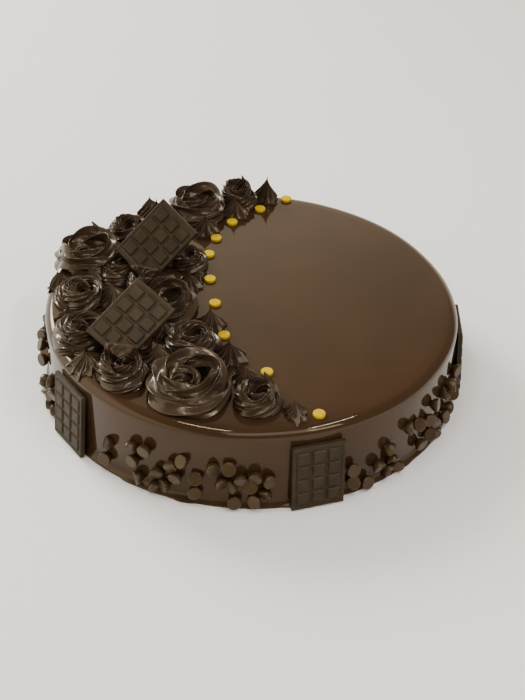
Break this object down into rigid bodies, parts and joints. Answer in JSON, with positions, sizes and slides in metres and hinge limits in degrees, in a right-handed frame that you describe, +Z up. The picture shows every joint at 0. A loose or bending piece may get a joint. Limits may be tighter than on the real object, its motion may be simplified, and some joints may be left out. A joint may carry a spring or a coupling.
{
  "type": "dutch truffle cake",
  "caption": "Round glazed chocolate cake with a crescent of piped cream roses, swirls and star drops, moulded plaques, sugar confetti, and chocolate chips round its foot.",
  "frame": {"origin": "centre of the cake's flat underside", "axes": "+Z up out of the cake's top, -Y towards the front, where the picture was taken from"},
  "size_m": [0.2733, 0.2733, 0.1029],
  "materials": {
    "glaze": "mirror gloss chocolate glaze",
    "cream": "glossy dark chocolate cream",
    "plaque": "satin moulded chocolate"
  },
  "bodies": {
    "root": {"cake": "glaze", "rose_front": "cream", "rose_back": "cream", "rose_left": "cream", "rose_middle": "cream", "swirl_front_left": "cream", "swirl_front_right": "cream", "swirl_left": "cream", "swirl_rim": "cream", "swirl_inner_front": "cream", "swirl_inner_back": "cream", "swirl_between": "cream", "swirl_behind": "cream", "swirl_hidden": "cream", "swirl_below": "cream", "swirl_gap": "cream", "swirl_back_tip": "cream", "star_back_tip": "cream", "star_spike": "cream", "star_inner_back": "cream", "star_mid_back": "cream", "star_dot_side": "cream", "star_inner_mid": "cream", "star_inner_front": "cream", "star_link": "cream", "star_last": "cream", "star_rim_front": "cream", "star_under_plaque": "cream", "star_left_inner": "cream", "star_rim_left": "cream", "star_back_inner": "cream", "star_middle": "cream", "star_top_back": "cream", "star_rim_middle": "cream", "star_beside_plaque": "cream", "star_gap_back": "cream", "star_gap_left": "cream", "star_behind_spike": "cream", "top_plaque_1": "plaque", "top_plaque_2": "plaque", "side_plaque_1": "plaque", "side_plaque_2": "plaque", "side_plaque_3": "plaque", "side_plaque_4": "plaque", "side_plaque_5": "plaque"}
  },
  "joints": []
}
